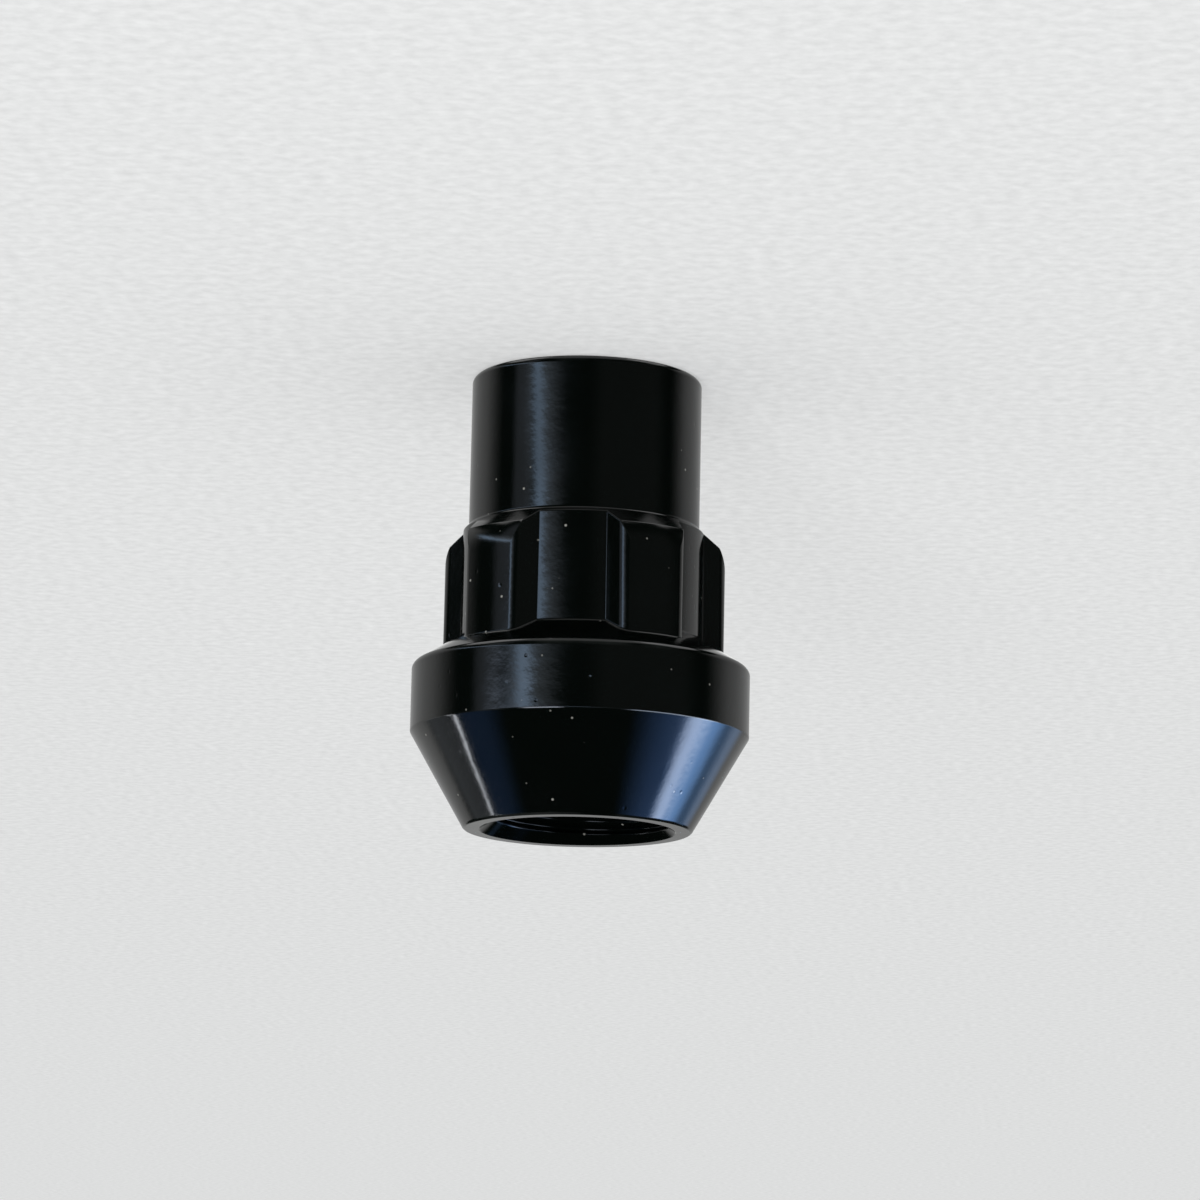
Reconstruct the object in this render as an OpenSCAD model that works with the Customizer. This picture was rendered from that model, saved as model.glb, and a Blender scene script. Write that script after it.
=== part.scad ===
// Closed-end wheel lug nut with a five-lobed drive section and a conical seat.
// It stands on its closed end: the origin is the centre of that end's flat face,
// and +Z runs along the stud axis to the open end. All lengths are in millimetres.

/* [Overall] */
// Length from the closed end to the open end
nut_len = 34.5; // [32:0.1:50]
// Colour of the black coating
coat_color = "#141817"; // [#141817, #2a2c2e, #b8bcc0]

/* [Head] */
// Diameter of the plain round head
head_d = 17.4; // [16:0.1:18]
// Length of the head, from the closed end to the shoulder
head_len = 11.6; // [8:0.1:13]
// Rounding of the closed end's edge
head_round = 0.55; // [0.2:0.05:1.5]

/* [Drive lobes] */
// Number of lobes round the drive section
lobe_count = 5; // [4:1:6]
// Diameter over the lobes
lobe_d = 21.4; // [20.4:0.1:22.4]
// Diameter at the floors of the valleys between the lobes
valley_d = 18.2; // [18.1:0.1:19.4]
// Width of a lobe's land, measured to where its flanks would meet it
land_w = 5.2; // [4.2:0.1:5.8]
// Slope of a lobe's flanks from its radial line, in degrees
flank_angle = 15; // [10:1:24]
// Rounding of the edges between lands and flanks
edge_round = 1.05; // [0.4:0.05:1.3]
// Slope of the shoulder between the head and the lobes, in degrees
shoulder_slope = 38; // [30:1:45]
// Drop from the lands to the shoulder's outer edge, where the lobes begin
lead_drop = 0.45; // [0.1:0.05:0.7]
// Radius of the arc that leads from that edge into the lands
lead_round = 4; // [2:0.1:6]

/* [Flange and seat] */
// Diameter of the flange
flange_d = 25.4; // [24:0.1:28]
// Height of the flange's straight side
flange_h = 5; // [3:0.1:6]
// Slope of the flange's upper face, in degrees
flange_slope = 31; // [20:1:35]
// Rounding of the flange's upper edge
flange_round = 0.6; // [0.2:0.05:1]
// Included angle of the conical seat, in degrees
seat_angle = 60; // [50:1:70]
// Height of the seat, from the open end to the flange's side
seat_h = 7.2; // [5:0.1:8]
// Rounding of the edge between the flange's side and the seat
seat_edge_round = 0.3; // [0.1:0.05:0.6]
// Rounding of the seat's edge at the open end
mouth_round = 0.35; // [0.1:0.05:0.5]

/* [Stud bore] */
// Diameter of the drilled bore, the thread's core
bore_d = 12.5; // [11:0.1:13]
// Depth of the bore's full diameter, from the open end
bore_depth = 26; // [18:0.5:28]
// Included angle of the drilled bottom, in degrees
drill_angle = 118; // [110:1:140]
// Diameter of the countersunk mouth
mouth_d = 14.7; // [14:0.1:15.4]
// Included angle of the countersink, in degrees
mouth_angle = 90; // [80:5:120]

/* [Hidden] */
$fn = 64;
// Straight steps in the arc that rounds a corner of the turned outline
arc_steps = 6;
// Straight steps in the rounding of an edge between a land and a flank
edge_steps = 3;
// Overlap that lets a cut run clear of the face it opens
cut_clear = 1;

head_r = head_d / 2;
lobe_r = lobe_d / 2;
valley_r = valley_d / 2;
flange_r = flange_d / 2;
bore_r = bore_d / 2;
mouth_r = mouth_d / 2;

// Heights above the closed end
seat_z = nut_len - seat_h;
flange_z = seat_z - flange_h;
bore_z = nut_len - bore_depth;
function flange_top_z(r) = flange_z - (flange_r - r) * tan(flange_slope);
seat_end_r = flange_r - seat_h * tan(seat_angle / 2);
mouth_depth = (mouth_r - bore_r) / tan(mouth_angle / 2);
drill_tip_h = bore_r / tan(drill_angle / 2);

// The shoulder rises from the head to its outer edge, and from there an arc leads into
// the lands, which it is tangent to
lead_r = lobe_r - lead_drop;
lead_z = head_len + (lead_r - head_r) * tan(shoulder_slope);
lead_angle = acos(1 - lead_drop / lead_round);
land_z = lead_z + lead_round * sin(lead_angle);
blank_z = head_len - cut_clear * tan(shoulder_slope);

// Lobes and valleys alternate at this angle
half_pitch = 180 / lobe_count;
// Angle from a valley's centre line to the edge of the next land
edge_angle = half_pitch - asin(land_w / lobe_d);

function polar(r, angle) = r * [cos(angle), sin(angle)];
function unit(v) = v / norm(v);
function flip(p) = [p[0], -p[1]];

// Points of the arc of radius r that rounds corner c between its two neighbours
function corner_arc(before, c, after, r) =
    let (
        u = unit(before - c),
        v = unit(after - c),
        half = acos(u * v) / 2,
        centre = c + unit(u + v) * r / sin(half),
        start = c + u * r / tan(half) - centre,
        sweep = 180 - 2 * half
    )
    [for (i = [0:arc_steps]) let (a = sweep * i / arc_steps)
        centre + [start[0] * cos(a) - start[1] * sin(a), start[0] * sin(a) + start[1] * cos(a)]];

// Points of a closed outline that turns to the left, from corners [x, y, rounding]
function rounded_outline(corners) =
    let (n = len(corners), at = [for (c = corners) [c[0], c[1]]])
    [for (i = [0:n - 1]) each (corners[i][2] > 0
        ? corner_arc(at[(i + n - 1) % n], at[i], at[(i + 1) % n], corners[i][2])
        : [at[i]])];

// The turned body: head, flange and conical seat
module turned_body() {
    rotate_extrude() polygon(rounded_outline([
        [0, 0, 0],
        [head_r, 0, head_round],
        [head_r, flange_top_z(head_r), 0],
        [flange_r, flange_z, flange_round],
        [flange_r, seat_z, seat_edge_round],
        [seat_end_r, nut_len, mouth_round],
        [0, nut_len, 0]
    ]));
}

// Section of one valley, centred on the X axis and open beyond the lands: each side is
// the flank, from below the floor outwards, and the rounding between it and the land
module valley_section() {
    flank = polar(1, half_pitch + flank_angle);
    // Direction that the flank faces, and direction of the land's end from the axis
    facing = half_pitch + flank_angle - 90;
    land_end = facing + acos((lobe_r * cos(edge_angle - facing) - edge_round) / (lobe_r - edge_round));
    edge = [for (i = [0:edge_steps])
        polar(lobe_r - edge_round, land_end)
            + polar(edge_round, facing + (land_end - facing) * i / edge_steps)];
    far = edge[edge_steps] + unit(edge[edge_steps] - edge[edge_steps - 1]) * lobe_r;
    side = concat([edge[0] - flank * lobe_r / 2], edge, [far, [lobe_d, far[1]]]);
    difference() {
        polygon(concat(side, [for (i = [len(side) - 1:-1:0]) flip(side[i])]));
        circle(valley_r);
    }
}

// Round blank of the drive section: the shoulder, which starts inside the head, then the
// arc that leads into a straight side
module drive_blank() {
    lead_in = [for (i = [0:arc_steps]) let (a = lead_angle * (1 - i / arc_steps))
        [lobe_r - lead_round * (1 - cos(a)), land_z - lead_round * sin(a)]];
    rotate_extrude() polygon(concat(
        [[0, blank_z], [head_r - cut_clear, blank_z]],
        lead_in,
        [[lobe_r, flange_z], [0, flange_z]]
    ));
}

// The drive section: the blank with its valleys cut, one of them facing -Y
module drive_section() {
    cut_z = blank_z - cut_clear;
    difference() {
        drive_blank();
        for (i = [0:lobe_count - 1])
            rotate(-90 + i * 360 / lobe_count) translate([0, 0, cut_z])
                linear_extrude(flange_z + cut_clear - cut_z) valley_section();
    }
}

// The stud's bore: countersunk mouth, straight wall and drilled bottom
module stud_bore() {
    rotate_extrude() polygon([
        [0, bore_z - drill_tip_h],
        [bore_r, bore_z],
        [bore_r, nut_len - mouth_depth],
        [mouth_r, nut_len],
        [mouth_r, nut_len + cut_clear],
        [0, nut_len + cut_clear]
    ]);
}

module lug_nut() {
    color(coat_color) difference() {
        union() {
            turned_body();
            drive_section();
        }
        stud_bore();
    }
}

lug_nut();
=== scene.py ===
import bpy
import numpy as np
from mathutils import Matrix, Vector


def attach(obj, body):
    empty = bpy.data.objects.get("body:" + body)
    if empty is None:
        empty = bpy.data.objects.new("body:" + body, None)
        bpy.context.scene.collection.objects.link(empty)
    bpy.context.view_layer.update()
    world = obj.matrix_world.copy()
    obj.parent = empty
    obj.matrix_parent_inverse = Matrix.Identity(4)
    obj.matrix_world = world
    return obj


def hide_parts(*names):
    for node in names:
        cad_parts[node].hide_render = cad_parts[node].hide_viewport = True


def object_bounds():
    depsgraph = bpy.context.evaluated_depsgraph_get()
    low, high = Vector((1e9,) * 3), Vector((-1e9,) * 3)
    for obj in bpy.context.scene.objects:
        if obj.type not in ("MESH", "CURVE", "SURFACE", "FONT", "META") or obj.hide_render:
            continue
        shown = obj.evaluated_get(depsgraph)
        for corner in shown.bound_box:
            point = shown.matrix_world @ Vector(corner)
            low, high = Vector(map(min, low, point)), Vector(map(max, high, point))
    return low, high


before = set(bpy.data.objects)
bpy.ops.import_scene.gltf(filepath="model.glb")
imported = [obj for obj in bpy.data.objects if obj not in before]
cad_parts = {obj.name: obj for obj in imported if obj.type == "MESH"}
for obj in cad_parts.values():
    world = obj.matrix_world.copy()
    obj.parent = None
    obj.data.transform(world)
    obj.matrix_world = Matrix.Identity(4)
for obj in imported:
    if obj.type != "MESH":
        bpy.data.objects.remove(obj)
cad_low, cad_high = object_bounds()

bpy.context.scene.view_settings.view_transform = "Standard"


# Lug nut: one solid of medium-carbon steel, cold-formed on a header, with its seat and
# flange turned, its blind bore drilled and tapped, and the whole dipped in black paint.
# It holds a road wheel on its stud, and its five lobes take a key of the same section.

MM = 0.001

NUT_LEN = (cad_high.z - cad_low.z) / MM
FLANGE_R = (cad_high.x - cad_low.x) / 2 / MM
HEAD_R, HEAD_LEN, HEAD_ROUND, HEAD_FOOT_ROUND = 8.7, 11.6, 0.55, 0.3
LOBES, LOBE_R, VALLEY_R, LAND_W, LOBE_EDGE_ROUND = 5, 10.7, 9.1, 5.2, 1.05
FLANK = np.radians(15)
SHOULDER_SLOPE, LEAD_ROUND, LEAD_EDGE_ROUND = np.radians(38), 4.0, 0.15
LEAD_R = LOBE_R - 0.45
FLANGE_H, FLANGE_SLOPE, FLANGE_ROUND = 5.0, np.radians(31), 0.6
SEAT_H, SEAT_SLOPE, SEAT_EDGE_ROUND = 7.2, np.radians(30), 0.3
RIM_ROUND = 0.35
CORE_R, BORE_DEPTH, DRILL_SLOPE, DRILL_ROUND = 6.25, 26.0, np.radians(59), 0.25
MOUTH_R, MOUTH_EDGE_ROUND = 7.35, 0.12
THREAD_PITCH, THREAD_R, THREAD_LEN, THREAD_RUNOUT = 1.5, 7.0, 21.5, 2.0
THREAD_TIP_END, THREAD_VALLEY_START = 0.3, 0.877
LOBE_ROOT_ROUND, LOBE_END_ROUND, FOOT_ROUND = 0.15, 0.15, 0.2

SEAT_Z = NUT_LEN - SEAT_H
FLANGE_Z = SEAT_Z - FLANGE_H
SEAT_END_R = FLANGE_R - SEAT_H * np.tan(SEAT_SLOPE)
BORE_Z = NUT_LEN - BORE_DEPTH
LEAD_Z = HEAD_LEN + (LEAD_R - HEAD_R) * np.tan(SHOULDER_SLOPE)


def rounded_corner(corner, first, second, radius, steps, hollow=False):
    """Arc that rounds the edge where two faces meet at corner, as (points, normals).

    The normal turns evenly from the first face's to the second's, and a point lies one
    radius along it from the arc's centre, or against it where the corner is hollow. The
    centre is the corner moved along both normals' sum, over one plus their product.
    """
    product = np.clip(np.sum(first * second, axis=-1, keepdims=True), -1, 1)
    turn = np.maximum(np.arccos(product), 1e-5)
    share = np.linspace(0, 1, steps)[:, None, None]
    normals = np.sin((1 - share) * turn) * first + np.sin(share * turn) * second
    normals = normals / np.linalg.norm(normals, axis=-1, keepdims=True)
    reach = -radius if hollow else radius
    centre = corner - reach * (first + second) / (1 + product)
    return centre + reach * normals, normals


def trim(first, second, radius):
    """Length that a rounding takes off each face: radius times the tangent of half its turn."""
    product = np.clip(np.sum(first * second, axis=-1), -1, 1)
    return radius * np.tan(np.arccos(product) / 2)


def across_axis(angle):
    """Unit vectors across the axis at these angles."""
    return np.stack([np.cos(angle), np.sin(angle), np.zeros_like(angle)], axis=-1)


def drive_section():
    """Outline of the drive section round the axis, as (points, normals).

    Half a lobe runs from its centre line to a valley's: land on the outer circle, rounded
    edge, straight flank, rounded root, floor on the inner circle. It is mirrored in the
    lobe's centre line and turned to each lobe in order.
    """
    corner = np.arcsin(LAND_W / 2 / LOBE_R)
    facing = np.pi / 2 - FLANK
    inset = LOBE_R * np.cos(facing - corner) - LOBE_EDGE_ROUND
    land_end = facing - np.arccos(inset / (LOBE_R - LOBE_EDGE_ROUND))
    edge_normals = across_axis(np.linspace(land_end, facing, 10))
    edge_centre = (LOBE_R - LOBE_EDGE_ROUND) * across_axis(np.array([land_end]))
    edge = edge_centre + LOBE_EDGE_ROUND * edge_normals
    flank_normal = edge_normals[-1:]
    down_flank = -across_axis(np.array([-FLANK]))
    along = -np.sum(edge[-1] * down_flank)
    to_floor = along - np.sqrt(along**2 - np.sum(edge[-1] ** 2) + VALLEY_R**2)
    root = edge[-1] + down_flank * to_floor
    floor_start = np.arctan2(root[0, 1], root[0, 0])
    floor_normal = root / VALLEY_R
    root_arc = rounded_corner(root, flank_normal, floor_normal, LOBE_ROOT_ROUND, 7, hollow=True)
    land = across_axis(np.linspace(0, land_end, 6))[:-1]
    floor = across_axis(
        np.linspace(
            floor_start + trim(flank_normal, floor_normal, LOBE_ROOT_ROUND)[0] / VALLEY_R,
            np.pi / LOBES,
            8,
        )
    )[1:]
    share = np.linspace(0, 1, 6)[1:-1, None]
    flank = edge[-1] + share * (root_arc[0][0] - edge[-1])

    points = np.concatenate([LOBE_R * land, edge, flank, root_arc[0][:, 0], VALLEY_R * floor])
    normals = np.concatenate(
        [land, edge_normals, np.repeat(flank_normal, len(flank), 0), root_arc[1][:, 0], floor]
    )
    flip = np.array([1, -1, 1])
    points = np.concatenate([(points * flip)[:0:-1], points[:-1]])
    normals = np.concatenate([(normals * flip)[:0:-1], normals[:-1]])

    first_lobe = -np.pi / 2 + np.pi / LOBES
    turns = first_lobe + np.arange(LOBES) * 2 * np.pi / LOBES
    spin = np.zeros((LOBES, 3, 3))
    spin[:, 0, 0] = spin[:, 1, 1] = np.cos(turns)
    spin[:, 1, 0], spin[:, 0, 1] = np.sin(turns), -np.sin(turns)
    spin[:, 2, 2] = 1
    return (
        np.einsum("lij,pj->lpi", spin, points).reshape(-1, 3),
        np.einsum("lij,pj->lpi", spin, normals).reshape(-1, 3),
    )


LEAD_STEPS = 24


def shoulder_profile():
    """Radius and height along the shoulder, from head to lands, and the lean of its normal.

    A straight slope runs from the head to the lobes' first edge, a small arc rounds that
    edge, and a large arc, tangent to the lands, leads into them. The lean is the angle
    between the normal and the axis, from the slope's own to a right angle at the lands.
    """
    lead_lean = np.arcsin(1 - (LOBE_R - LEAD_R) / LEAD_ROUND)
    slope = np.array([[np.sin(SHOULDER_SLOPE), 0, -np.cos(SHOULDER_SLOPE)]])
    lead = np.array([[np.sin(lead_lean), 0, -np.cos(lead_lean)]])
    corner = np.array([[LEAD_R, 0, LEAD_Z]])
    edge, edge_normal = rounded_corner(corner, slope, lead, LEAD_EDGE_ROUND, LEAD_STEPS)
    past = trim(slope, lead, LEAD_EDGE_ROUND)[0] / LEAD_ROUND
    arc = np.linspace(lead_lean + past, np.pi / 2, LEAD_STEPS)[1:]
    centre = np.array([LOBE_R - LEAD_ROUND, LEAD_Z + LEAD_ROUND * np.cos(lead_lean)])
    points = np.concatenate(
        [
            [[HEAD_R, HEAD_LEN]],
            edge[:, 0, ::2],
            centre + LEAD_ROUND * np.stack([np.sin(arc), -np.cos(arc)], axis=-1),
        ]
    )
    edge_lean = np.arctan2(edge_normal[:, 0, 0], -edge_normal[:, 0, 2])
    return points, np.concatenate([[SHOULDER_SLOPE], edge_lean, arc])


def thread_wall(outward, angle, depth):
    """Countersunk mouth and tapped wall at these depths from the open end, as (points, normals).

    The radius is the larger of the countersink's 45 degree cone and the thread: core radius
    plus the thread's height times a wave that rises with height and falls with angle, once a
    pitch and once a turn, with its tips and valleys cut flat. It fades out at its far end.
    """
    height = NUT_LEN - depth[:, None]
    wave = np.abs(2 * np.mod(height / THREAD_PITCH - angle / (2 * np.pi), 1) - 1)
    ridge = np.clip((wave - THREAD_TIP_END) / (THREAD_VALLEY_START - THREAD_TIP_END), 0, 1)
    ridge = ridge * ridge * (3 - 2 * ridge) * 0.5 + ridge * 0.5
    kept = np.clip((THREAD_LEN + THREAD_RUNOUT - depth) / THREAD_RUNOUT, 0, 1)[:, None]
    thread = CORE_R + (THREAD_R - CORE_R) * ridge * kept
    cone = MOUTH_R - depth[:, None]
    gap, blend = thread - cone, 0.06
    radius = cone + (gap + np.sqrt(gap**2 + blend**2)) / 2
    points = radius[..., None] * outward + height[..., None] * np.array([0, 0, 1.0])
    across = np.roll(points, -1, axis=1) - np.roll(points, 1, axis=1)
    normals = np.cross(across, np.gradient(points, axis=0))
    return points, normals / np.linalg.norm(normals, axis=-1, keepdims=True)


def nut_surface():
    """The whole nut: rows of points from the closed end, up the outside and down the bore.

    Each row goes round the axis at the drive section's own angles, so that every edge of
    the lobes lies on a line of the grid. Returns points, normals, each row's share of the
    painted edge highlight and wear, which is one along the middle of an outer edge's rounding
    and nothing away from it, and whether the row is in the bore.
    """
    section, section_normal = drive_section()
    angle = np.arctan2(section[:, 1], section[:, 0])
    outward = across_axis(angle)
    up = np.broadcast_to(np.array([0, 0, 1.0]), outward.shape)
    drive_r = np.linalg.norm(section, axis=1)[:, None]

    def ring(radius, height):
        return radius * outward + height * up

    slope_normal = np.sin(FLANGE_SLOPE) * outward - np.cos(FLANGE_SLOPE) * up
    seat_normal = np.cos(SEAT_SLOPE) * outward + np.sin(SEAT_SLOPE) * up
    mouth_normal = (up - outward) / np.sqrt(2)
    drill_normal = np.sin(DRILL_SLOPE) * up - np.cos(DRILL_SLOPE) * outward

    lead_in, lean = shoulder_profile()
    length = np.cumsum(np.hypot(*np.diff(lead_in, axis=0, prepend=lead_in[:1]).T))
    end = np.interp(drive_r, lead_in[:, 0], length)
    end_lean = np.interp(end, length, lean)
    start_normal = np.sin(lean[0]) * outward - np.cos(lean[0]) * up
    end_normal = np.sin(end_lean) * outward - np.cos(end_lean) * up
    first = trim(outward, start_normal, HEAD_FOOT_ROUND)[:, None]
    last = end - trim(end_normal, section_normal, LOBE_END_ROUND)[:, None]
    edge_start, edge_end = length[1], length[LEAD_STEPS]
    knee = np.minimum(edge_start, first + 0.55 * (last - first))
    after = np.minimum(edge_end, knee + 0.6 * (last - knee))
    share = np.linspace(0, 1, 6)[:, None, None]
    along = np.concatenate(
        [
            first + share[1:] * (knee - first),
            knee + share[1:] * (after - knee),
            after + share[1:-1] * (last - after),
        ]
    )
    shoulder_lean = np.interp(along, length, lean)
    shoulder_normal = np.sin(shoulder_lean) * outward - np.cos(shoulder_lean) * up
    shoulder = ring(
        np.interp(along, length, lead_in[:, 0]), np.interp(along, length, lead_in[:, 1])
    )

    shoulder_top = ring(drive_r, np.interp(end, length, lead_in[:, 1]))
    foot = ring(drive_r, FLANGE_Z - (FLANGE_R - drive_r) * np.tan(FLANGE_SLOPE))
    lobe_edge = rounded_corner(shoulder_top, end_normal, section_normal, LOBE_END_ROUND, 6)
    foot_arc = rounded_corner(foot, section_normal, slope_normal, FOOT_ROUND, 6, hollow=True)
    share = np.linspace(0, 1, 8)[1:-1, None, None]
    wall = lobe_edge[0][-1] + share * (foot_arc[0][0] - lobe_edge[0][-1])

    depth = np.concatenate([np.linspace(0.06, 5, 72), np.linspace(5.15, BORE_DEPTH - 0.4, 116)])
    bottom = rounded_corner(
        ring(CORE_R, BORE_Z), -outward, drill_normal, DRILL_ROUND, 4, hollow=True
    )

    plain = np.linspace(0.25, 0.75, 3)[:, None, None] * HEAD_R * outward
    head_foot = rounded_corner(
        ring(HEAD_R, HEAD_LEN), outward, start_normal, HEAD_FOOT_ROUND, 7, hollow=True
    )
    faces = [
        (plain, np.broadcast_to(-up, plain.shape), 0),
        (*rounded_corner(ring(HEAD_R, 0), -up, outward, HEAD_ROUND, 9), 1),
        (*head_foot, 0),
        (shoulder, shoulder_normal, 0),
        (*lobe_edge, 1),
        (wall, np.broadcast_to(section_normal, wall.shape), 0),
        (*foot_arc, 0),
        (*rounded_corner(ring(FLANGE_R, FLANGE_Z), slope_normal, outward, FLANGE_ROUND, 9), 1),
        (*rounded_corner(ring(FLANGE_R, SEAT_Z), outward, seat_normal, SEAT_EDGE_ROUND, 7), 1),
        (*rounded_corner(ring(SEAT_END_R, NUT_LEN), seat_normal, up, RIM_ROUND, 8), 1),
        (*rounded_corner(ring(MOUTH_R, NUT_LEN), up, mouth_normal, MOUTH_EDGE_ROUND, 5), 1),
        (*thread_wall(outward, angle, depth), 0),
        (*bottom, 0),
    ]
    points = np.concatenate([f[0] for f in faces])
    normals = np.concatenate([f[1] for f in faces])
    # Painted edge highlight and wear: strongest midway round each outer edge's rounding
    sheen_and_wear = np.concatenate([f[2] * np.sin(np.pi * np.linspace(0, 1, len(f[0]))) for f in faces])
    in_bore = np.arange(len(sheen_and_wear)) >= len(sheen_and_wear) - len(depth) - len(bottom[0])
    return points, normals, sheen_and_wear, in_bore


def linear(hex_colour):
    """sRGB hex to linear: the low end over 12.92, the rest through the 2.4 power curve."""
    s = np.array([int(hex_colour[i : i + 2], 16) for i in (1, 3, 5)]) / 255
    return (*np.where(s <= 0.04045, s / 12.92, ((s + 0.055) / 1.055) ** 2.4), 1.0)


def add(tree, kind, inputs=None, **settings):
    """Adds one node: settings are its properties, inputs its sockets' values or links."""
    node = tree.nodes.new(kind)
    for name, value in settings.items():
        setattr(node, name, value)
    for name, value in (inputs or {}).items():
        if isinstance(value, bpy.types.NodeSocket):
            tree.links.new(value, node.inputs[name])
        else:
            node.inputs[name].default_value = value
    return node


# Black electrocoat: epoxy paint about 20 microns thick, drawn on in a bath and baked.
# It follows the steel's fine grain, so the eye gets a deep black with soft, slightly broken
# highlights, a faint orange peel, tiny pits and a little settled dust. Patches along the
# rounded outer edges are painted a lighter grey, partly wear and partly a painted highlight
# along the edges, and the tapped bore is duller than the outside.
coat = bpy.data.materials.new("black_electrocoat")
coat.use_nodes = True
tree = coat.node_tree
tree.nodes.clear()
place = add(tree, "ShaderNodeTexCoord").outputs["Object"]
# Share along the outer edges' roundings that carries the painted edge highlight and wear
edge = add(tree, "ShaderNodeAttribute", attribute_name="edge_sheen_and_wear").outputs["Fac"]
bore = add(tree, "ShaderNodeAttribute", attribute_name="tapped_bore").outputs["Fac"]

peel = add(tree, "ShaderNodeTexNoise", {"Vector": place, "Scale": 1 / (0.9 * MM), "Detail": 2.0})
grain = add(tree, "ShaderNodeTexNoise", {"Vector": place, "Scale": 1 / (0.25 * MM), "Detail": 2.0})
smudge = add(tree, "ShaderNodeTexNoise", {"Vector": place, "Scale": 1 / (5 * MM), "Detail": 4.0})


def scattered(cell, share, inner, outer):
    """Round spots, one in each cell of this size that is kept: one inside the inner radius,
    falling to nothing at the outer."""
    cells = add(tree, "ShaderNodeTexVoronoi", {"Vector": place, "Scale": 1 / cell})
    kept = add(tree, "ShaderNodeMath", {0: cells.outputs["Color"], 1: share}, operation="LESS_THAN")
    spot = add(
        tree,
        "ShaderNodeMapRange",
        {
            "Value": cells.outputs["Distance"],
            "From Min": inner / cell,
            "From Max": outer / cell,
            "To Min": 1.0,
            "To Max": 0.0,
        },
    )
    both = {0: kept.outputs[0], 1: spot.outputs[0]}
    return add(tree, "ShaderNodeMath", both, operation="MULTIPLY").outputs[0]


pit = scattered(1.4 * MM, 0.45, 0.04 * MM, 0.17 * MM)
dust = scattered(1.6 * MM, 0.7, 0.05 * MM, 0.12 * MM)
# Lighter grey in patches along the outer edges: partly wear, partly a painted highlight along them
sheen_and_wear = add(
    tree,
    "ShaderNodeMapRange",
    {
        "Value": smudge.outputs["Fac"],
        "From Min": 0.45,
        "From Max": 0.7,
        "To Min": 0.0,
        "To Max": 0.6,
    },
)
sheen_and_wear = add(tree, "ShaderNodeMath", {0: sheen_and_wear.outputs[0], 1: edge}, operation="MULTIPLY")
black = add(
    tree,
    "ShaderNodeMix",
    {"Factor": sheen_and_wear.outputs[0], "A": linear("#030504"), "B": linear("#2b2e2d")},
    data_type="RGBA",
)
colour = add(
    tree,
    "ShaderNodeMix",
    {"Factor": dust, "A": black.outputs["Result"], "B": linear("#8c8c86")},
    data_type="RGBA",
)
rough = add(
    tree,
    "ShaderNodeMapRange",
    {
        "Value": smudge.outputs["Fac"],
        "From Min": 0.3,
        "From Max": 0.7,
        "To Min": 0.07,
        "To Max": 0.14,
    },
)
gloss = add(tree, "ShaderNodeMath", {0: bore, 1: -0.38, 2: 0.5}, operation="MULTIPLY_ADD")
wave_bump = add(
    tree,
    "ShaderNodeBump",
    {"Height": smudge.outputs["Fac"], "Strength": 1.0, "Distance": 0.02 * MM},
)
peel_bump = add(
    tree,
    "ShaderNodeBump",
    {
        "Height": peel.outputs["Fac"],
        "Strength": 1.0,
        "Distance": 0.005 * MM,
        "Normal": wave_bump.outputs["Normal"],
    },
)
grain_bump = add(
    tree,
    "ShaderNodeBump",
    {
        "Height": grain.outputs["Fac"],
        "Strength": 1.0,
        "Distance": 0.0022 * MM,
        "Normal": peel_bump.outputs["Normal"],
    },
)
pit_bump = add(
    tree,
    "ShaderNodeBump",
    {
        "Height": pit,
        "Strength": 1.0,
        "Distance": 0.014 * MM,
        "Normal": grain_bump.outputs["Normal"],
    },
    invert=True,
)
surface = add(
    tree,
    "ShaderNodeBsdfPrincipled",
    {
        "Base Color": colour.outputs["Result"],
        "Roughness": rough.outputs[0],
        "IOR": 1.5,
        "Specular IOR Level": gloss.outputs[0],
        "Normal": pit_bump.outputs["Normal"],
    },
)
add(tree, "ShaderNodeOutputMaterial", {"Surface": surface.outputs[0]})

points, normals, sheen_and_wear_share, in_bore = nut_surface()
rows, columns = points.shape[:2]
drill_tip = BORE_Z - CORE_R / np.tan(DRILL_SLOPE)
here = np.arange((rows - 1) * columns).reshape(rows - 1, columns)
beside = np.roll(here, -1, axis=1)
quads = np.stack([here, beside, beside + columns, here + columns], axis=-1).reshape(-1, 4)
first_row, last_row = here[0], here[-1] + columns
closed_pole, tip_pole = rows * columns, rows * columns + 1
closed_fan = np.stack([np.full(columns, closed_pole), np.roll(first_row, -1), first_row], axis=-1)
tip_fan = np.stack([np.full(columns, tip_pole), last_row, np.roll(last_row, -1)], axis=-1)

mesh = bpy.data.meshes.new("lug_nut_finished")
mesh.from_pydata(
    np.concatenate([points.reshape(-1, 3), [[0, 0, 0], [0, 0, drill_tip]]]) * MM,
    [],
    quads.tolist() + closed_fan.tolist() + tip_fan.tolist(),
)
mesh.polygons.foreach_set("use_smooth", np.ones(len(mesh.polygons), dtype=bool))
mesh.normals_split_custom_set_from_vertices(
    np.concatenate([normals.reshape(-1, 3), [[0, 0, -1], [0, 0, 1]]])
)
# Rows along the outer edges' roundings get the painted edge highlight and wear; bore rows are
# marked
for name, share in (("edge_sheen_and_wear", sheen_and_wear_share), ("tapped_bore", in_bore)):
    mesh.attributes.new(name, "FLOAT", "POINT").data.foreach_set(
        "value", np.concatenate([np.repeat(share, columns), [0, share[-1]]])
    )
mesh.materials.append(coat)
nut = bpy.data.objects.new("lug_nut_finished", mesh)
bpy.context.scene.collection.objects.link(nut)
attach(nut, "root")
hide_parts("lug_nut")


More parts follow.
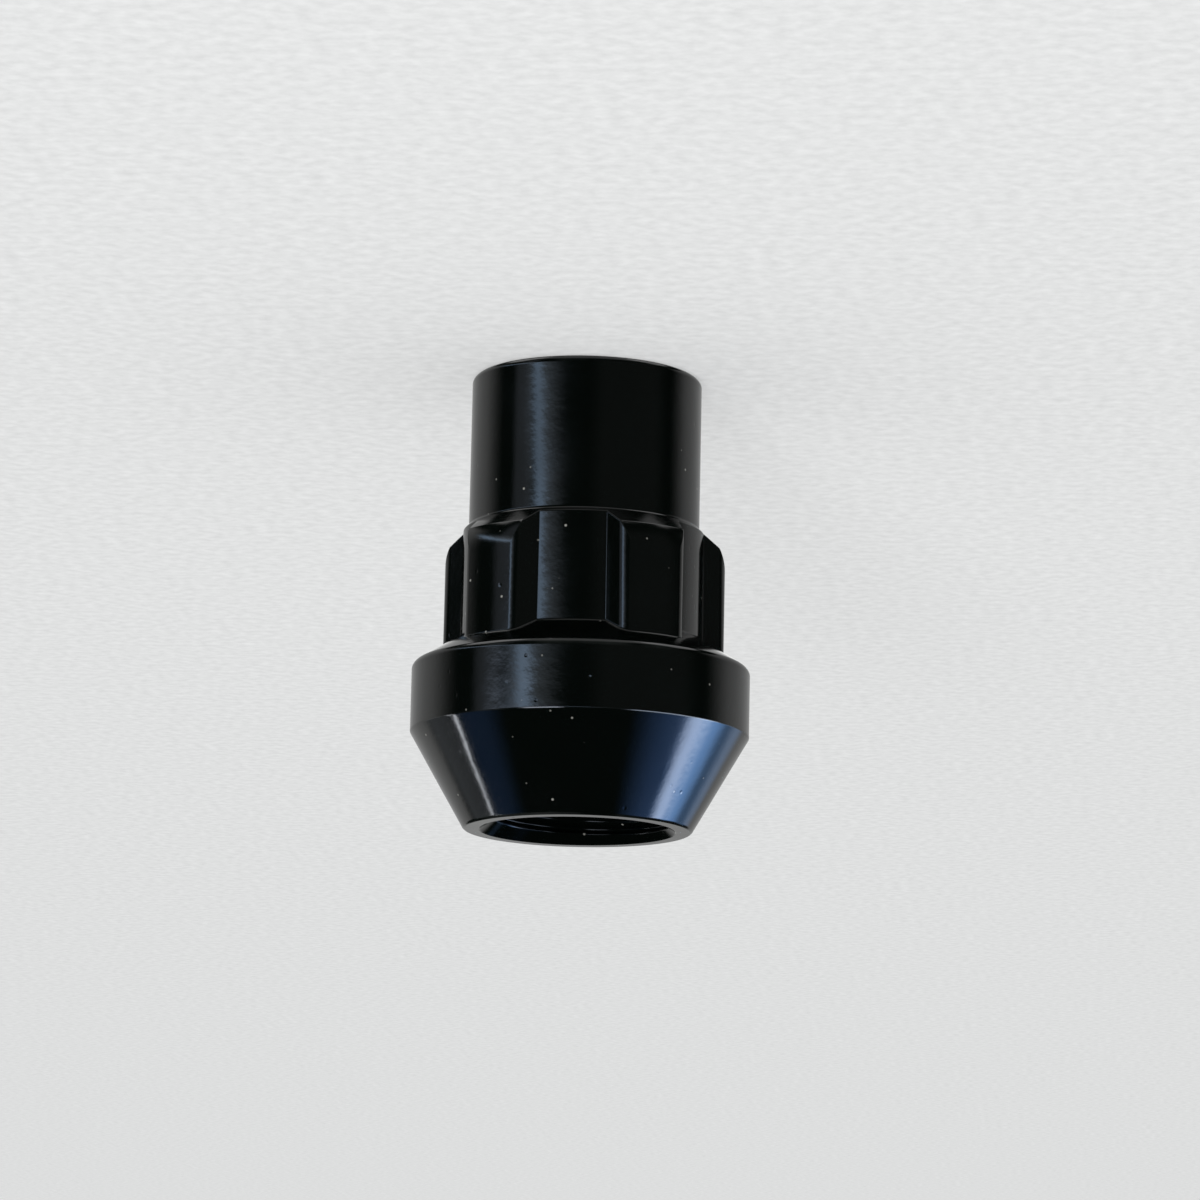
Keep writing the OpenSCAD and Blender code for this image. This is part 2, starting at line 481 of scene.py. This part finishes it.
# Camera: a long lens aimed at the drive section from 11 degrees above the level. It is
# turned half round and a little more, so that the open end is at the bottom of the
# picture, and it stands a little to one side of the valley that faces it.
LENS, SENSOR, PICTURE = 150.0, 36.0, 1200
CAMERA_AZIMUTH, CAMERA_ELEVATION, CAMERA_ROLL = np.radians([-5.3, 10.95, 1.26])
CAMERA_DISTANCE = 376.2
AIM_Z, NUT_OFF_CENTRE = 16.93, 17.5

toward = np.array(
    [
        np.sin(CAMERA_AZIMUTH) * np.cos(CAMERA_ELEVATION),
        -np.cos(CAMERA_AZIMUTH) * np.cos(CAMERA_ELEVATION),
        np.sin(CAMERA_ELEVATION),
    ]
)
level_right = np.array([-np.cos(CAMERA_AZIMUTH), -np.sin(CAMERA_AZIMUTH), 0.0])
level_up = np.cross(toward, level_right)
right = level_right * np.cos(CAMERA_ROLL) + level_up * np.sin(CAMERA_ROLL)
above = level_up * np.cos(CAMERA_ROLL) - level_right * np.sin(CAMERA_ROLL)
pixel = CAMERA_DISTANCE * SENSOR / LENS / PICTURE
stand = np.array([0, 0, AIM_Z]) + toward * CAMERA_DISTANCE + right * NUT_OFF_CENTRE * pixel

camera = bpy.data.objects.new("camera", bpy.data.cameras.new("camera"))
camera.data.lens, camera.data.sensor_width = LENS, SENSOR
camera.data.clip_start, camera.data.clip_end = 0.01, 20.0
camera.matrix_world = Matrix(
    [[*row, at] for row, at in zip(np.stack([right, above, toward], axis=1), stand * MM)]
    + [[0, 0, 0, 1]]
)
bpy.context.scene.collection.objects.link(camera)
bpy.context.scene.camera = camera


# Floor: a wide sheet of matt white paper with fine creases, which the nut stands on.
# The patches of light in the room stand for it in the coat's reflections, so the sheet
# itself stays out of them.
FLOOR_SIZE = 8.0

paper = bpy.data.materials.new("matt_white_paper")
paper.use_nodes = True
tree = paper.node_tree
tree.nodes.clear()
place = add(tree, "ShaderNodeTexCoord").outputs["Object"]
crease = add(tree, "ShaderNodeTexNoise", {"Vector": place, "Scale": 1 / (1.1 * MM), "Detail": 3.0})
tint = add(
    tree,
    "ShaderNodeMix",
    {"Factor": crease.outputs["Fac"], "A": linear("#dbdcdc"), "B": linear("#fbfcfc")},
    data_type="RGBA",
)
sheet = add(
    tree,
    "ShaderNodeBsdfPrincipled",
    {"Base Color": tint.outputs["Result"], "Roughness": 0.9, "Specular IOR Level": 0.0},
)
pale = add(tree, "ShaderNodeEmission", {"Color": tint.outputs["Result"], "Strength": 1.0})
path = add(tree, "ShaderNodeLightPath")
glowing = add(
    tree, "ShaderNodeMath", {0: path.outputs["Is Camera Ray"], 1: 0.5}, operation="MULTIPLY"
)
shown = add(
    tree,
    "ShaderNodeMixShader",
    {"Fac": glowing.outputs[0], 1: sheet.outputs[0], 2: pale.outputs[0]},
)
add(tree, "ShaderNodeOutputMaterial", {"Surface": shown.outputs[0]})
half = FLOOR_SIZE / 2
floor_mesh = bpy.data.meshes.new("floor")
floor_mesh.from_pydata(
    [(-half, -half, 0), (half, -half, 0), (half, half, 0), (-half, half, 0)], [], [(0, 1, 2, 3)]
)
floor_mesh.materials.append(paper)
floor = bpy.data.objects.new("floor", floor_mesh)
floor.visible_glossy = False
bpy.context.scene.collection.objects.link(floor)


# Room: even soft light from all sides, one soft lamp near the camera, and what the coat
# mirrors: pale paper behind and below, a dim room in front, a window on the left and a blue
# one on the right. Azimuth is from the camera's side, positive to the picture's right.
AMBIENT = 0.72
WINDOW_LEAN, LEAN_FROM = 3.2, np.radians(-12)
LAMP_SIZE, LAMP_POWER, LAMP_DISTANCE = 0.16, 1.5, 0.6

room = bpy.data.worlds.new("room")
room.use_nodes = True
room.cycles.sampling_method = "NONE"
tree = room.node_tree
tree.nodes.clear()
gaze = add(tree, "ShaderNodeTexCoord").outputs["Generated"]
ahead = add(
    tree,
    "ShaderNodeVectorMath",
    {0: gaze, 1: (np.sin(CAMERA_AZIMUTH), -np.cos(CAMERA_AZIMUTH), 0)},
    operation="DOT_PRODUCT",
)
aside = add(tree, "ShaderNodeVectorMath", {0: gaze, 1: tuple(level_right)}, operation="DOT_PRODUCT")
azimuth = add(
    tree,
    "ShaderNodeMath",
    {0: aside.outputs["Value"], 1: ahead.outputs["Value"]},
    operation="ARCTAN2",
).outputs[0]
height = add(tree, "ShaderNodeSeparateXYZ", {0: gaze}).outputs["Z"]
elevation = add(tree, "ShaderNodeMath", {0: height}, operation="ARCSINE").outputs[0]


def soft_band(value, centre, half_width, soft):
    """One inside half_width of centre, falling smoothly to nothing over soft more, in degrees."""
    off = add(tree, "ShaderNodeMath", {0: value, 1: np.radians(centre)}, operation="SUBTRACT")
    size = add(tree, "ShaderNodeMath", {0: off.outputs[0]}, operation="ABSOLUTE")
    return add(
        tree,
        "ShaderNodeMapRange",
        {
            "Value": size.outputs[0],
            "From Min": np.radians(half_width),
            "From Max": np.radians(half_width + soft),
            "To Min": 1.0,
            "To Max": 0.0,
        },
        interpolation_type="SMOOTHSTEP",
    ).outputs[0]


def patch(across, up_and_down, colour, strength):
    """A patch of light: its band in azimuth times its band in elevation, times its colour."""
    both = add(tree, "ShaderNodeMath", {0: across, 1: up_and_down}, operation="MULTIPLY")
    return add(
        tree,
        "ShaderNodeVectorMath",
        {0: tuple(np.array(linear(colour)[:3]) * strength), "Scale": both.outputs[0]},
        operation="SCALE",
    ).outputs[0]


# The left window leans: its azimuth shifts with elevation
rise = add(tree, "ShaderNodeMath", {0: elevation, 1: LEAN_FROM}, operation="SUBTRACT")
lean = {0: rise.outputs[0], 1: -WINDOW_LEAN, 2: azimuth}
slant = add(tree, "ShaderNodeMath", lean, operation="MULTIPLY_ADD").outputs[0]
patches = [
    # Pale paper behind the nut
    patch(soft_band(azimuth, 180, 58, 30), soft_band(elevation, -10, 24, 5), "#ffffff", 0.42),
    patch(soft_band(azimuth, -180, 58, 32), soft_band(elevation, -10, 24, 5), "#ffffff", 0.46),
    patch(soft_band(azimuth, -118, 6, 11), soft_band(elevation, 22, 8, 6), "#f0f6ff", 0.33),
    patch(soft_band(azimuth, 180, 2, 8), soft_band(elevation, -20, 16, 5), "#ffffff", 0.8),
    patch(soft_band(azimuth, -180, 2, 8), soft_band(elevation, -20, 16, 5), "#ffffff", 0.8),
    # Paper below, all round and at the two sides
    patch(1.0, soft_band(elevation, -90, 22, 14), "#ffffff", 0.5),
    patch(soft_band(azimuth, 120, 24, 12), soft_band(elevation, -58, 8, 5), "#ffffff", 1.1),
    patch(soft_band(azimuth, -120, 24, 12), soft_band(elevation, -58, 8, 5), "#ffffff", 1.3),
    # Faint light from the front right
    patch(soft_band(azimuth, 45, 25, 20), soft_band(elevation, -10, 20, 20), "#ffffff", 0.05),
    # Left window, with the faint light round it
    patch(soft_band(azimuth, -86, 4, 20), soft_band(elevation, 36, 8, 8), "#7fb0ff", 0.35),
    patch(soft_band(azimuth, -66, 5, 9), soft_band(elevation, -10, 30, 20), "#e8f0ff", 0.3),
    patch(soft_band(azimuth, -50, 8, 14), soft_band(elevation, -5, 3, 3), "#d2e4ff", 2.0),
    patch(soft_band(slant, -40, 0, 24), soft_band(elevation, -12, 14, 6), "#e6f2ff", 0.75),
    patch(soft_band(slant, -45, 0, 9), soft_band(elevation, -12, 14, 6), "#b4d8ff", 2.8),
    patch(soft_band(azimuth, -26, 9, 8), soft_band(elevation, 18, 10, 6), "#e6efff", 7.0),
    patch(soft_band(azimuth, -103.5, 0.2, 1.2), soft_band(elevation, 30, 12, 6), "#f4f8ff", 14.0),
    # Blue window on the right
    patch(soft_band(azimuth, 97, 2, 9), soft_band(elevation, 32, 6, 8), "#eef4ff", 4.6),
    patch(soft_band(azimuth, 105, 6, 16), soft_band(elevation, 28, 8, 8), "#89bcff", 5.5),
    patch(soft_band(azimuth, 84, 0, 42), soft_band(elevation, 38, 8, 12), "#7fb0ff", 1.3),
    patch(soft_band(azimuth, 128, 8, 14), soft_band(elevation, 18, 6, 8), "#94c3ff", 1.1),
    patch(soft_band(azimuth, 72, 30, 12), soft_band(elevation, 18, 8, 5), "#d8e8ff", 6.5),
]
mirrored = linear("#161d1a")[:3]
for light in patches:
    total = add(tree, "ShaderNodeVectorMath", {0: light, 1: mirrored}, operation="ADD")
    mirrored = total.outputs[0]
path = add(tree, "ShaderNodeLightPath")
seen = add(
    tree,
    "ShaderNodeMix",
    {"Factor": path.outputs["Is Glossy Ray"], "A": (AMBIENT, AMBIENT, AMBIENT, 1), "B": mirrored},
    data_type="RGBA",
)
glow = add(tree, "ShaderNodeBackground", {"Color": seen.outputs["Result"], "Strength": 1.0})
add(tree, "ShaderNodeOutputWorld", {"Surface": glow.outputs[0]})
bpy.context.scene.world = room

lamp = bpy.data.objects.new("soft_lamp", bpy.data.lights.new("soft_lamp", "AREA"))
lamp.data.shape, lamp.data.size, lamp.data.energy = "DISK", LAMP_SIZE, LAMP_POWER
lamp_from = np.array([0.16, -1.0, 0.3])
lamp_from = lamp_from / np.linalg.norm(lamp_from)
lamp.location = lamp_from * LAMP_DISTANCE
lamp.rotation_mode = "QUATERNION"
lamp.rotation_quaternion = lamp.location.to_track_quat("Z", "Y")
lamp.visible_glossy = False
lamp.visible_camera = False
bpy.context.scene.collection.objects.link(lamp)


bpy.context.view_layer.update()
